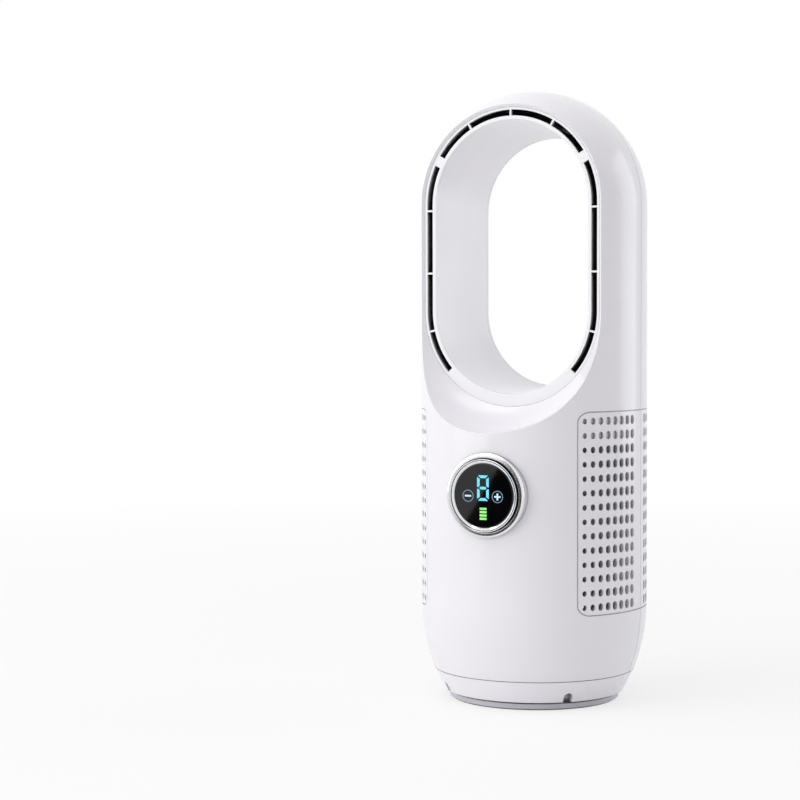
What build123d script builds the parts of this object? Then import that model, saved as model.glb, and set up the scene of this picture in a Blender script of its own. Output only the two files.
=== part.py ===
from build123d import *
import os
from math import asin, cos, degrees, radians, sin, sqrt

# Bladeless table fan: a domed cylinder with a tall opening through its upper half, a motor-driven
# impeller below it and a slotted ring around the opening. Millimetres, +Z up, origin on the table at
# the centre of the foot. The fan blows towards -Y, its front.

# ---- Casing outline ----
body_radius = 60.0            # cylinder and dome
body_height = 322.0           # table to the top of the dome
wall = 2.2                    # casing wall
taper_top_z = 50.0            # below this height the casing narrows
taper_radius = 91.5           # side-view arc of the narrowing
seam_z = 15.8                 # joint between the skirt and the shells
seam_gap = 0.3
parting_y = 2.0               # plane between the front and rear shells
parting_gap = 0.3
fit_gap = 0.15                # between pieces that fit into each other
touch_gap = 0.05              # between pieces that rest on each other
past = 1.0                    # cutters reach this far past what they cut
root = 0.5                    # posts and pins start this deep in what carries them

# ---- Ring with the opening ----
face_front_depth = 30.0       # ring's front face ahead of the axis
face_rear_depth = 28.0        # ring's rear face behind the axis
ring_low_z = 156.2            # lowest point of the flat ring face
slot_rim = 1.4                # ring face outside the air slot
slot_width = 3.1
opening_lip = 1.8             # ring face inside the air slot
throat_narrowing = 2.1        # opening's radius at the crease, less than at the front
rear_narrowing = 3.5          # and at the rear
throat_depth = 8.0            # crease in the tunnel, ahead of the axis
rear_upper_drop = 2.5         # the opening's upper arc sinks this much towards the rear
rear_lower_drop = 0.6
lip_width = 2.16              # from the crease around the ring face to the casing's edge
scoop_radius = 35.0           # hollow below the ring face, in section
scoop_angle = 50.0            # its slope where it leaves the ring face
nozzle_thickness = 2.0
nozzle_flange_depth = 8.0     # from the ring face to the rear edge of the nozzle's flange
nozzle_flange_wall = 1.2
liner_wall = 2.0
slot_end_angle = 48.5         # half of the closed stretch at the bottom, from straight down
thin_rib = 1.0
wide_rib = 5.6
thin_rib_angles = (0.0, 30.0)     # from straight up, on both sides
wide_rib_angle = 61.0
side_rib_drops = (3.0, 36.0)      # below the upper arc's centre
low_rib_angle = 77.0          # from straight down

# ---- Intake panels ----
panel_low_z = 50.1
panel_low_margin = 4.4        # from the panel's lower edge to the first row of holes
panel_high_margin = 5.0
panel_side_margin = 4.0       # degrees
panel_corner = 5.5
groove_width = 0.6
groove_depth = 0.6
hole_rows = 14
hole_columns = 8              # on each shell, each side
hole_pitch_z = 7.33
hole_first_angle = 49.4       # from the front
hole_pitch_angle = 4.63
hole_narrow = 2.45            # hole width in the first column
hole_wide = 3.4               # hole width beside the parting plane
hole_short = 2.85             # hole height in the first column
hole_tall = 4.85              # hole height beside the parting plane
blind_depth = 1.7             # holes above the air divider don't go through

# ---- Foot, swivel and base ----
pad_lift = 0.5                # foot disc above the table
pad_inset = 1.2               # inside the foot's edge
pad_socket = 0.6              # pad's depth in the foot disc
foot_inset = 2.5              # foot's edge inside the skirt's lower edge
foot_rim_height = 2.8
foot_round = 0.6
table_inset = 6.5             # raised middle of the foot disc, inside its edge
table_rise = 1.6
glide_inset = 3.0             # inside the raised middle's edge
glide_width = 5.0
glide_thickness = 0.9
swivel_gap = 0.1              # above the glide ring
hub_radius = 12.0
hub_clearance = 0.08
plate_clearance = 1.3         # between base plate and skirt
plate_thickness = 2.8
retainer_radius = 17.0
retainer_thickness = 1.5
retainer_gap = 0.3
retainer_screw_circle = 7.0
retainer_bite = 4.0           # screws' length in the hub
stop_pin_radius = 1.6
stop_circle = 24.0
stop_clearance = 0.3
stop_pin_drop = 0.4           # pin's end below the top of the base plate
swivel_limit = 45.0           # each way
shadow_gap = 1.1              # between the foot's rim and the skirt
skirt_narrowing = 5.8         # skirt's radius, top to bottom
skirt_wall = 2.4
skirt_shelf_thickness = 1.6
skirt_tongue_height = 3.2
skirt_tongue_wall = 1.9
notch_width = 4.8
notch_height = 5.1
notch_angle = 45.0

# ---- Screws ----
screw_radius = 1.4
screw_head_radius = 2.6
screw_head_height = 1.6
screw_clearance = 0.3         # around a shank that passes through
thread_clearance = 0.05       # around a shank that holds
small_screw_radius = 1.0
small_head_radius = 1.9
small_head_height = 1.2
tip_gap = 0.5                 # beyond a screw's end

# ---- Posts that join base plate and shells ----
post_inset = 5.2              # post's axis inside the base plate's edge
post_angle = 30.0             # from the front and from the rear
post_radius = 3.5
boss_height = 10.5
boss_rib = 2.0
screw_bite = 8.0              # shank inside a boss

# ---- Battery and boards ----
tray_clearance = 0.6          # above the retainer screws
tray_wall = 1.6
tray_leg_radius = 3.0
tray_leg_inset = 8.0          # inside the tray's sides
cell_radius = 9.2
cell_length = 65.0
cell_gap = 0.4
standoff_radius = 3.0
standoff_height = 3.0
standoff_inset = 7.0          # inside the lid's sides
board_clearance = 6.2         # between board and casing
board_thickness = 1.6
socket_width = 8.9
socket_height = 3.2
socket_length = 7.5
socket_wall = 0.4
socket_clearance = 0.45       # around the socket in the rear shell
socket_tongue = 0.7
socket_back = 1.0             # closed end of the socket
tongue_inset = 1.0            # tongue behind the socket's mouth
socket_overhang = 6.0         # beyond the board's edge
chips = ((0, -1, 10, 10, 1.4), (12.5, 4.5, 5, 5, 1.1))          # x, y, width, depth, height
cans = ((-15, 6, 4.5, 4.5), (14, -12, 3.2, 9), (6, -15, 3.2, 9))  # x, y, radius, height

# ---- Air path ----
divider_clearance = 0.6       # below the lower scoop
divider_thickness = 2.2
divider_lip = 0.5             # divider's hole, outside the shroud's bore
divider_skin = 0.4            # left above the shroud's screws
lug_angle = 35.0              # from the front and from the rear
lug_inset = 3.3               # screw's axis inside the casing's inner face
lug_width = 7.0
lug_height = 5.0
lug_length = 5.6
gasket_thickness = 1.0
shroud_wall = 2.0
plenum_width = 9.3            # between the shroud's flange and the casing
shroud_flange_width = 5.0
shroud_flange_thickness = 2.0
bell_flare = 1.9              # mouth of the inlet, outside the shroud
bell_height = 8.0
inlet_lead = 12.5             # from the mouth to the impeller
shroud_screw_inset = 2.2      # inside the flange's edge
ledge_width = 0.9             # seat of the diffuser inside the shroud
ledge_height = 1.8

# ---- Diffuser and motor ----
diffuser_drop = 20.6          # from the shroud's top to the diffuser's underside
diffuser_ring_height = 16.0
diffuser_ring_wall = 1.3
vane_count = 9
vane_thickness = 1.4
vane_tilt = 30.0
vane_inset = 1.0              # vanes inside the ring's height
hub_floor = 2.0
hub_wall = 2.0
hub_hole_clearance = 2.0      # around the lower bearing
hub_rim_rise = 1.0            # hub's rim above the motor
damper_wall = 1.9
motor_radius = 14.0
motor_wall = 1.0
motor_height = 16.0
motor_floor = 2.5
end_bell_thickness = 2.5
bearing_radius = 4.0
bearing_height = 2.5
shaft_radius = 1.5
running_clearance = 0.05
shaft_end = 0.5               # above the motor
core_height = 7.5
core_inner_radius = 8.2
core_yoke = 2.0
tooth_count = 6
tooth_width = 3.0
magnet_air_gap = 0.6
winding_gap = 0.2
winding_overhang = 0.8
motor_cap_height = 5.0
motor_cap_wall = 1.6

# ---- Impeller ----
impeller_gap = 1.5            # below the diffuser
impeller_height = 18.0
impeller_tip_clearance = 0.5
impeller_hub_top = 18.0
impeller_hub_bottom = 9.0
blade_count = 11
blade_thickness = 1.5
blade_root_pitch = 38.0
blade_tip_pitch = 58.0
blade_overlap = 3.0           # blades are made this much too long, then cut round
nut_radius = 4.5
nut_height = 3.0
nut_dome = 0.5                # closed end of the nut

# ---- Cables inside ----
cable_radius = 1.2
cable_hole_clearance = 0.4
cable_angle = 200.0           # from the front
cable_bend = 7.0
cable_drop_gap = 2.2          # from the shroud's flange to the cable's centre line
ribbon_width = 8.0
ribbon_thickness = 0.5
ribbon_bend = 2.0
ribbon_drop_gap = 2.2         # behind the display's bracket
ribbon_clearance = 1.0
plug_height = 5.0
plug_size = 7.0

# ---- Display ----
display_clearance = 0.4       # from the display's bracket up to the air divider
lens_radius = 16.4
lens_proud = 3.2              # glass face ahead of the casing
lens_thickness = 1.8
lens_round = 0.3
inner_ring_radius = 18.6
inner_ring_proud = 3.8
inner_ring_bevel = 0.9
inner_ring_rim = 0.35         # outside the ring's fine groove
inner_groove_width = 0.45
inner_groove_depth = 0.5
outer_ring_radius = 21.8
outer_ring_proud = 1.9
ring_round = 1.1
sleeve_wall = 0.8
lens_seat_width = 1.4
lens_seat_thickness = 1.4
carrier_gap = 0.1
display_board_depth = 4.6     # board's front face behind the casing's front
display_board_thickness = 1.6
bracket_depth = 9.0           # bracket's front face behind the casing's front
bracket_thickness = 1.5
bracket_radius = 25.0
bracket_screw_circle = 22.5
display_screw_bite = 2.5      # screws' length in the bosses
spacer_wall = 2.0
display_boss_radius = 2.5
bracket_window_height = 6.0
mark_thickness = 0.15
digit_width = 6.5
digit_height = 13.0
digit_x = -0.2
digit_rise = 3.9
digit_stroke = 1.4
digit_gap = 0.5
minus_x = -8.6
plus_x = 7.9
key_drop = 0.3                # keys below the glass's centre
key_ring_radius = 3.1
key_ring_stroke = 0.4
sign_length = 3.5
sign_stroke = 0.9
bar_count = 4
bar_width = 3.9
bar_height = 1.1
bar_round = 0.4
bar_pitch = 1.7
bar_x = -0.1
bar_drop = 9.2
spring_radius = 2.0

# ---- Sizes and places that follow from the ones above ----
def casing_radius(z, inset=0.0):
    """Casing's radius below the dome, moved in by inset."""
    below = max(taper_top_z - z, 0.0)
    return body_radius - taper_radius + sqrt((taper_radius - inset) ** 2 - below**2)


def lip_radius(face_depth):
    """Where the flat ring face ends and the scoop starts."""
    return sqrt(body_radius**2 - face_depth**2) - lip_width


def scoop_centre(face_depth):
    """Centre of the scoop's arc: distance from the opening's centre line, and depth."""
    out = lip_radius(face_depth) - scoop_radius * cos(radians(scoop_angle))
    return out, face_depth + scoop_radius * sin(radians(scoop_angle))


dome_z = body_height - body_radius
shell_bottom_z = seam_z + seam_gap
lower_arc_z = ring_low_z + lip_radius(face_front_depth)
slot_outer_radius = lip_radius(face_front_depth) - slot_rim
slot_inner_radius = slot_outer_radius - slot_width
opening_front_radius = slot_inner_radius - opening_lip
opening_throat_radius = opening_front_radius - throat_narrowing
opening_rear_radius = opening_front_radius - rear_narrowing
hole_low_z = panel_low_z + panel_low_margin
panel_high_z = hole_low_z + (hole_rows - 1) * hole_pitch_z + panel_high_margin
panel_edge_angle = hole_first_angle - panel_side_margin

skirt_bottom_radius = casing_radius(seam_z) - skirt_narrowing
foot_radius = skirt_bottom_radius - foot_inset
pad_radius = foot_radius - pad_inset
table_radius = foot_radius - table_inset
glide_outer_radius = table_radius - glide_inset
glide_inner_radius = glide_outer_radius - glide_width
foot_rim_z = pad_lift + foot_rim_height
table_z = foot_rim_z + table_rise
plate_z = table_z + glide_thickness + swivel_gap
plate_top_z = plate_z + plate_thickness
hub_top_z = plate_top_z + retainer_gap
retainer_top_z = hub_top_z + retainer_thickness
skirt_z = foot_rim_z + shadow_gap
skirt_slope = skirt_narrowing / (seam_z - skirt_z)
plate_radius = skirt_bottom_radius - skirt_wall + skirt_slope * (plate_z - skirt_z) - plate_clearance
post_circle = plate_radius - post_inset
tongue_top_z = seam_z + skirt_tongue_height
post_top_z = tongue_top_z + fit_gap
boss_z = post_top_z + fit_gap

tray_z = retainer_top_z + small_head_height + tray_clearance
cell_z = tray_z + tray_wall + cell_radius + touch_gap
tray_inner_x = cell_length + 2 * cell_gap
tray_inner_y = 4 * cell_radius + 3 * cell_gap
tray_outer_x = tray_inner_x + 2 * tray_wall
tray_outer_y = tray_inner_y + 2 * tray_wall
lid_z = cell_z + cell_radius + cell_gap
lid_top_z = lid_z + tray_wall
board_z = lid_top_z + standoff_height
board_top_z = board_z + board_thickness
board_radius = casing_radius(board_z, wall) - board_clearance
socket_z = board_top_z + socket_height / 2

scoop_bottom_z = lower_arc_z - scoop_centre(min(face_front_depth, face_rear_depth))[0] - scoop_radius
divider_top_z = scoop_bottom_z - wall - divider_clearance
divider_z = divider_top_z - divider_thickness
lug_circle = body_radius - wall - lug_inset
flange_top_z = divider_z - gasket_thickness
flange_z = flange_top_z - shroud_flange_thickness
shroud_flange_radius = body_radius - wall - plenum_width
shroud_outer_radius = shroud_flange_radius - shroud_flange_width
shroud_inner_radius = shroud_outer_radius - shroud_wall
shroud_screw_circle = shroud_flange_radius - shroud_screw_inset
divider_hole_radius = shroud_inner_radius + divider_lip
bell_radius = shroud_outer_radius + bell_flare
diffuser_bottom_z = flange_top_z - diffuser_drop
diffuser_radius = shroud_inner_radius - fit_gap
damper_radius = motor_radius + damper_wall
pocket_radius = damper_radius + touch_gap
diffuser_hub_radius = pocket_radius + hub_wall
motor_z = diffuser_bottom_z + hub_floor + touch_gap
motor_top_z = motor_z + motor_height
end_bell_z = motor_top_z - end_bell_thickness
core_z = motor_z + motor_floor + (motor_height - motor_floor - end_bell_thickness - core_height) / 2
hub_rim_z = motor_top_z + hub_rim_rise
impeller_radius = shroud_inner_radius - impeller_tip_clearance
impeller_top_z = diffuser_bottom_z - impeller_gap
impeller_z = impeller_top_z - impeller_height
shroud_bottom_z = impeller_z - inlet_lead
nut_z = impeller_z - nut_height
shaft_z = nut_z + nut_dome
cable_z = motor_z + motor_height / 2
cable_drop_radius = shroud_flange_radius + cable_drop_gap

display_z = divider_z - display_clearance - bracket_radius
display_board_y = -body_radius + display_board_depth
bracket_y = -body_radius + bracket_depth
lens_y = -body_radius - lens_proud
seat_y = lens_y + lens_thickness
sleeve_inner_radius = inner_ring_radius + fit_gap
sleeve_radius = sleeve_inner_radius + sleeve_wall
key_z = display_z - key_drop


# ---- Helpers ----
def disc(radius, z0, z1, x=0.0, y=0.0):
    """Upright cylinder between two heights."""
    return Pos(x, y, z0) * Cylinder(radius, z1 - z0, align=(Align.CENTER, Align.CENTER, Align.MIN))


def tube(outer, inner, z0, z1, x=0.0, y=0.0):
    """Upright tube between two heights."""
    return disc(outer, z0, z1, x, y) - disc(inner, z0 - past, z1 + past, x, y)


def block(x0, x1, y0, y1, z0, z1):
    """Box between six coordinates."""
    centre = ((x0 + x1) / 2, (y0 + y1) / 2, (z0 + z1) / 2)
    return Pos(*centre) * Box(x1 - x0, y1 - y0, z1 - z0)


def slab(size_x, size_y, z0, z1, x=0.0, y=0.0):
    """Box around a point of X and Y, between two heights."""
    return block(x - size_x / 2, x + size_x / 2, y - size_y / 2, y + size_y / 2, z0, z1)


def facing_disc(radius, y0, y1, x=0.0, z=0.0):
    """Cylinder along Y between two places."""
    cylinder = Cylinder(radius, y1 - y0, align=(Align.CENTER, Align.CENTER, Align.MIN))
    return Pos(x, y0, z) * Rot(-90, 0, 0) * cylinder


def turned(points, radii=None):
    """Solid turned about Z from a closed outline of (radius, height) points, with rounded corners."""
    places = [(r, 0, z) for r, z in points]
    if radii is None:
        outline = Polyline(*places, close=True)
    else:
        outline = FilletPolyline(*places, radius=radii, close=True)
    return revolve(make_face(outline), Axis.Z)


def turned_facing(points, radii, z):
    """Solid turned about a line along Y at height z, from a closed outline of (radius, y) points."""
    places = [(r, y, z) for r, y in points]
    outline = FilletPolyline(*places, radius=radii, close=True)
    return revolve(make_face(outline), Axis((0, 0, z), (0, 1, 0)))


def around(solid, angles):
    """Copies of a solid turned about Z."""
    return [Rot(0, 0, angle) * solid for angle in angles]


def even_angles(count):
    """Angles of evenly spaced copies."""
    return [360 * index / count for index in range(count)]


def four_ways(angle):
    """Angles from the front for features that repeat in front and behind, left and right."""
    return [angle, -angle, 180 - angle, 180 + angle]


def at_front(angle, radius):
    """X and Y of a point at an angle from the front."""
    return radius * sin(radians(angle)), -radius * cos(radians(angle))


def outward_plane(angle, radius, z):
    """Plane whose normal points away from the axis, with its own Y upwards."""
    x, y = at_front(angle, radius)
    turn = radians(angle)
    return Plane(origin=(x, y, z), x_dir=(cos(turn), sin(turn), 0), z_dir=(sin(turn), -cos(turn), 0))


def screw(radius, head_radius, head_height, length):
    """Screw along +Z whose head starts at 0 and whose shank ends at head height plus length."""
    return disc(head_radius, 0, head_height) + disc(radius, head_height, head_height + length)


# ---- Casing ----
def casing_solid(inset, bottom_z):
    """Turned casing outline, moved in by inset, down to bottom_z."""
    radius = body_radius - inset
    middle_z = (taper_top_z + bottom_z) / 2
    low = (casing_radius(bottom_z, inset), 0, bottom_z)
    middle = (casing_radius(middle_z, inset), 0, middle_z)
    knee = (radius, 0, taper_top_z)
    shoulder = (radius, 0, dome_z)
    dome_side = (radius * cos(radians(45)), 0, dome_z + radius * sin(radians(45)))
    top = (0, 0, dome_z + radius)
    outline = Line((0, 0, bottom_z), low)
    outline += ThreePointArc(low, middle, knee)
    outline += Line(knee, shoulder)
    outline += ThreePointArc(shoulder, dome_side, top)
    outline += Line(top, (0, 0, bottom_z))
    return revolve(make_face(outline), Axis.Z)


def ring_cut(face_depth, inset, side):
    """Pieces cut away outside a ring face: flat over the ring, hollow below it. side is -1 for the front."""
    centre_out, centre_depth = scoop_centre(face_depth)
    radius = scoop_radius + inset
    start_depth = face_depth - inset
    start_turn = asin((centre_depth - start_depth) / radius)
    far = 2 * body_radius

    def place(out, depth, z):
        return out, side * depth, z

    def section(z):
        start = place(centre_out + radius * cos(start_turn), start_depth, z)
        middle = place(
            centre_out + radius * cos(start_turn / 2), centre_depth - radius * sin(start_turn / 2), z
        )
        end = place(centre_out + radius, centre_depth, z)
        corner = place(centre_out + radius, far, z)
        outline = Polyline(end, corner, place(0, far, z), place(0, start_depth, z), start)
        outline += ThreePointArc(start, middle, end)
        return make_face(outline)

    right = extrude(section(lower_arc_z), dome_z - lower_arc_z, dir=(0, 0, 1))
    left = mirror(right, about=Plane.YZ)
    below = revolve(section(lower_arc_z), Axis((0, 0, lower_arc_z), (0, 1, 0)), 180)
    above = revolve(section(dome_z), Axis((0, 0, dome_z), (0, -1, 0)), 180)
    return [right, left, below, above]


def stadium(radius, lower_z, upper_z, y):
    """Upright rounded slot shape across the fan at y."""
    plane = Plane(origin=(0, y, (lower_z + upper_z) / 2), x_dir=(1, 0, 0), z_dir=(0, -1, 0))
    return (plane * SlotCenterToCenter(upper_z - lower_z, 2 * radius, rotation=90)).face()


def stadium_solid(radius, y0, y1):
    """Straight prism with the ring face's arc centres, between two places on Y."""
    return extrude(stadium(radius, lower_arc_z, dome_z, y1), y1 - y0, dir=(0, -1, 0))


def tunnel_face(depth, offset):
    """Cross-section of the opening at a depth ahead of the axis, grown by offset."""
    back = (face_front_depth - depth) / (face_front_depth + face_rear_depth)
    if depth > throat_depth:
        slope = (opening_front_radius - opening_throat_radius) / (face_front_depth - throat_depth)
    else:
        slope = (opening_throat_radius - opening_rear_radius) / (throat_depth + face_rear_depth)
    radius = opening_throat_radius + slope * (depth - throat_depth) + offset
    lower_z = lower_arc_z - rear_lower_drop * back
    upper_z = dome_z - rear_upper_drop * back
    return stadium(radius, lower_z, upper_z, -depth)


def tunnel_solid(front_depth, rear_depth, offset):
    """Tapered core of the opening between two depths ahead of the axis, grown by offset."""
    sections = [tunnel_face(front_depth, offset)]
    if rear_depth < throat_depth < front_depth:
        sections.append(tunnel_face(throat_depth, offset))
    sections.append(tunnel_face(rear_depth, offset))
    return loft(sections, ruled=True)


def panel_grooves():
    """Shallow outlines around the two intake panels."""
    half_width = body_radius * cos(radians(panel_edge_angle))
    height = panel_high_z - panel_low_z
    middle_z = (panel_high_z + panel_low_z) / 2
    plane = Plane(origin=(0, 0, middle_z), x_dir=(0, 1, 0), z_dir=(1, 0, 0))
    outer = plane * RectangleRounded(2 * half_width, height, panel_corner)
    inner_corner = panel_corner - groove_width
    inner_size = (2 * (half_width - groove_width), height - 2 * groove_width)
    inner = plane * RectangleRounded(*inner_size, inner_corner)
    core = disc(body_radius - groove_depth, panel_low_z - past, panel_high_z + past)
    reach = body_radius + past
    grooves = []
    for side in (-1, 1):
        frame = extrude(outer, reach, dir=(side, 0, 0)) - extrude(inner, reach + past, dir=(side, 0, 0))
        grooves.append(frame - core)
    return grooves


def hole_shape(column):
    """Holes grow taller and wider from the panel's edge towards the parting plane."""
    share = (1 - column / (hole_columns - 1))**2
    height = hole_tall - (hole_tall - hole_short) * share
    width = hole_wide - (hole_wide - hole_narrow) * share
    return SlotOverall(height, width, rotation=90)


def hole_cutters(behind):
    """Intake holes of the front shell, or behind it of the rear shell, as radial cutters."""
    heights = [hole_low_z + row * hole_pitch_z for row in range(hole_rows)]
    cutters = []
    for column in range(hole_columns):
        angle = hole_first_angle + column * hole_pitch_angle
        if behind:
            angle = 180 - angle
        shape = hole_shape(column)
        for turn in (angle, -angle):
            for z in heights:
                deep = 3 * wall if z + hole_tall / 2 < divider_z else blind_depth
                plane = outward_plane(turn, body_radius - deep, z)
                cutters.append(extrude(plane * shape, deep + past))
    return cutters


def post_places():
    """X and Y of the four posts."""
    return [at_front(angle, post_circle) for angle in four_ways(post_angle)]


def shell_boss(angle):
    """Screw boss of a shell with the rib that ties it to the wall."""
    x, y = at_front(angle, post_circle)
    boss_top_z = boss_z + boss_height
    reach = casing_radius(boss_z) - wall / 2 - post_circle
    rib = block(-boss_rib / 2, boss_rib / 2, -reach, 0, boss_z, boss_top_z)
    rib = Pos(x, y, 0) * Rot(0, 0, angle) * rib
    body = disc(post_radius, boss_z, boss_top_z, x, y) + rib
    pilot = disc(screw_radius + thread_clearance, boss_z - past, boss_z + screw_bite + tip_gap, x, y)
    return body - pilot


def divider_lug(angle):
    """Lug of a shell that carries the air divider."""
    far = body_radius - wall / 2
    near = lug_circle - lug_length / 2
    top_z = divider_z - touch_gap
    lug = block(-lug_width / 2, lug_width / 2, -far, -near, top_z - lug_height, top_z)
    pilot_radius = small_screw_radius + thread_clearance
    pilot = disc(pilot_radius, top_z - lug_height - past, top_z + past, 0, -lug_circle)
    return Rot(0, 0, angle) * (lug - pilot)


def display_screw_places():
    """X and Z of the screws around the display."""
    reach = bracket_screw_circle * cos(radians(45))
    return [(sx * reach, display_z + sz * reach) for sx in (-1, 1) for sz in (-1, 1)]


def display_bosses():
    """Bosses inside the front shell for the display bracket."""
    bosses = []
    hole_end = bracket_y - display_screw_bite - tip_gap
    for x, z in display_screw_places():
        start = -sqrt(body_radius**2 - x**2) + wall / 2
        boss = facing_disc(display_boss_radius, start, bracket_y - touch_gap, x, z)
        pilot = facing_disc(small_screw_radius + thread_clearance, hole_end, bracket_y + past, x, z)
        bosses.append(boss - pilot)
    return bosses


def socket_opening():
    """Hole in the rear shell in front of the charging socket."""
    size = 2 * socket_clearance
    shape = SlotOverall(socket_width + size, socket_height + size)
    plane = Plane(origin=(0, body_radius + past, socket_z), x_dir=(1, 0, 0), z_dir=(0, 1, 0))
    return extrude(plane * shape, -(3 * wall + past))


def make_shells():
    """Front and rear shells."""
    outer = casing_solid(0, shell_bottom_z)
    outer -= ring_cut(face_front_depth, 0, -1)
    outer -= ring_cut(face_rear_depth, 0, 1)
    cavity = casing_solid(wall, shell_bottom_z - past)
    cavity -= ring_cut(face_front_depth, wall, -1)
    cavity -= ring_cut(face_rear_depth, wall, 1)
    casing = outer - cavity
    casing -= panel_grooves()
    seat_radius = lip_radius(face_front_depth) + touch_gap
    casing -= stadium_solid(seat_radius, -body_radius, -face_front_depth + wall + past)
    casing -= tunnel_solid(0, -body_radius, 0)

    far = 2 * body_radius
    half = block(-far, far, -far, parting_y, -past, body_height + past)
    front = casing & half
    rear = casing - (Pos(0, parting_gap, 0) * half)
    for angle in (post_angle, -post_angle):
        front += shell_boss(angle)
        rear += shell_boss(180 + angle)
    for angle in (lug_angle, -lug_angle):
        front += divider_lug(angle)
        rear += divider_lug(180 + angle)
    front += display_bosses()
    front -= facing_disc(sleeve_radius + fit_gap, -body_radius - past, bracket_y, 0, display_z)
    front -= hole_cutters(False)
    rear -= hole_cutters(True)
    rear -= socket_opening()
    return front, rear


# ---- Ring ----
def slot_ribs():
    """Everything that closes the ring's slot in places."""
    mean = (slot_inner_radius + slot_outer_radius) / 2
    reach = slot_width
    y0 = -face_front_depth - past
    y1 = -face_front_depth + nozzle_thickness + past
    ribs = []

    def rib(width, angle, centre_z):
        piece = block(-width / 2, width / 2, y0, y1, mean - reach, mean + reach)
        return Pos(0, 0, centre_z) * Rot(0, angle, 0) * piece

    for side in (-1, 1):
        for angle in thin_rib_angles:
            ribs.append(rib(thin_rib, side * angle, dome_z))
        ribs.append(rib(wide_rib, side * wide_rib_angle, dome_z))
        ribs.append(rib(thin_rib, side * (180 - low_rib_angle), lower_arc_z))
        for drop in side_rib_drops:
            x0, x1 = sorted((side * (mean - reach), side * (mean + reach)))
            ribs.append(block(x0, x1, y0, y1, dome_z - drop - thin_rib / 2, dome_z - drop + thin_rib / 2))
    far = 2 * mean
    corner = at_front(slot_end_angle, far)
    wedge = make_face(
        Polyline((0, y0, lower_arc_z), (-corner[0], y0, lower_arc_z + corner[1]),
                 (corner[0], y0, lower_arc_z + corner[1]), close=True)
    )
    ribs.append(extrude(wedge, y1 - y0, dir=(0, 1, 0)))
    return ribs


def make_nozzle_ring():
    """Flat ring face with the interrupted air slot and a flange behind its outer edge."""
    outer = lip_radius(face_front_depth) - touch_gap
    front_y = -face_front_depth
    plate = stadium_solid(outer, front_y, front_y + nozzle_thickness)
    flange = stadium_solid(outer, front_y, front_y + nozzle_flange_depth)
    flange -= stadium_solid(outer - nozzle_flange_wall, front_y - past, front_y + nozzle_flange_depth + past)
    slot = stadium_solid(slot_outer_radius, front_y - past, front_y + nozzle_thickness + past)
    slot -= stadium_solid(slot_inner_radius, front_y - 2 * past, front_y + nozzle_thickness + 2 * past)
    slot -= slot_ribs()
    core = tunnel_solid(face_front_depth + past, face_front_depth - nozzle_thickness - past, 0)
    return plate + flange - slot - core


def make_tunnel_liner():
    """Tapered wall of the opening between the nozzle ring and the rear face."""
    front = face_front_depth - nozzle_thickness
    rear = -(face_rear_depth - wall)
    return tunnel_solid(front, rear, liner_wall) - tunnel_solid(front + past, rear - past, 0)


# ---- Foot and base ----
def make_foot_disc():
    """Disc that stands on the table, with the swivel hub and the stop pin."""
    points = [
        (0, pad_lift), (foot_radius, pad_lift), (foot_radius, foot_rim_z), (table_radius, foot_rim_z),
        (table_radius, table_z), (hub_radius, table_z), (hub_radius, hub_top_z), (0, hub_top_z),
    ]
    body = turned(points, [0, foot_round, foot_round / 3, 0, 0, 0, 0, 0])
    body -= disc(pad_radius + touch_gap, pad_lift - past, pad_lift + pad_socket)
    body += disc(stop_pin_radius, table_z - root, plate_top_z - stop_pin_drop, 0, stop_circle)
    hole_end = hub_top_z - retainer_bite - tip_gap
    pilot = disc(small_screw_radius + thread_clearance, hole_end, hub_top_z + past, 0, retainer_screw_circle)
    return body - around(pilot, even_angles(3))


def make_foot_pad():
    """Non-slip pad under the foot disc."""
    return disc(pad_radius, 0, pad_lift + pad_socket)


def make_glide_ring():
    """Low-friction ring that carries the fan on its foot."""
    return tube(glide_outer_radius, glide_inner_radius, table_z, table_z + glide_thickness)


def make_swivel_retainer():
    """Disc on the hub that holds the base plate down."""
    hole = disc(small_screw_radius + screw_clearance, hub_top_z - past, retainer_top_z + past)
    hole = Pos(0, retainer_screw_circle, 0) * hole
    return disc(retainer_radius, hub_top_z, retainer_top_z) - around(hole, even_angles(3))


def make_swivel_screws():
    """Three screws through the retainer."""
    length = retainer_thickness + retainer_bite
    shape = screw(small_screw_radius, small_head_radius, small_head_height, length)
    placed = Pos(0, retainer_screw_circle, retainer_top_z + small_head_height) * Rot(180, 0, 0) * shape
    return around(placed, even_angles(3))


def stop_slot():
    """Curved slot of the base plate that the stop pin runs in."""
    half = stop_pin_radius + stop_clearance
    ring = tube(stop_circle + half, stop_circle - half, plate_z - past, plate_top_z + past)
    sweep_angle = swivel_limit + degrees(asin(half / stop_circle))
    far = 2 * stop_circle
    x, y = at_front(sweep_angle, far)
    wedge = make_face(Polyline((0, 0, 0), (-x, -y, 0), (x, -y, 0), close=True))
    return ring & extrude(Pos(0, 0, plate_z - past) * wedge, plate_thickness + 2 * past, dir=(0, 0, 1))


def make_base_plate():
    """Plate that turns on the foot and carries the posts."""
    plate = tube(plate_radius, hub_radius + hub_clearance, plate_z, plate_top_z)
    plate -= stop_slot()
    for x, y in post_places():
        plate += disc(post_radius, plate_top_z - root, post_top_z, x, y)
    for x, y in post_places():
        plate -= disc(screw_radius + screw_clearance, plate_z - past, post_top_z + past, x, y)
        plate -= disc(screw_head_radius + screw_clearance, plate_z - past, plate_z + screw_head_height, x, y)
    return plate


def make_base_screws():
    """Four screws from below through the plate's posts into the shells."""
    length = boss_z + screw_bite - plate_z - screw_head_height
    shape = screw(screw_radius, screw_head_radius, screw_head_height, length)
    return [Pos(x, y, plate_z) * shape for x, y in post_places()]


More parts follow.
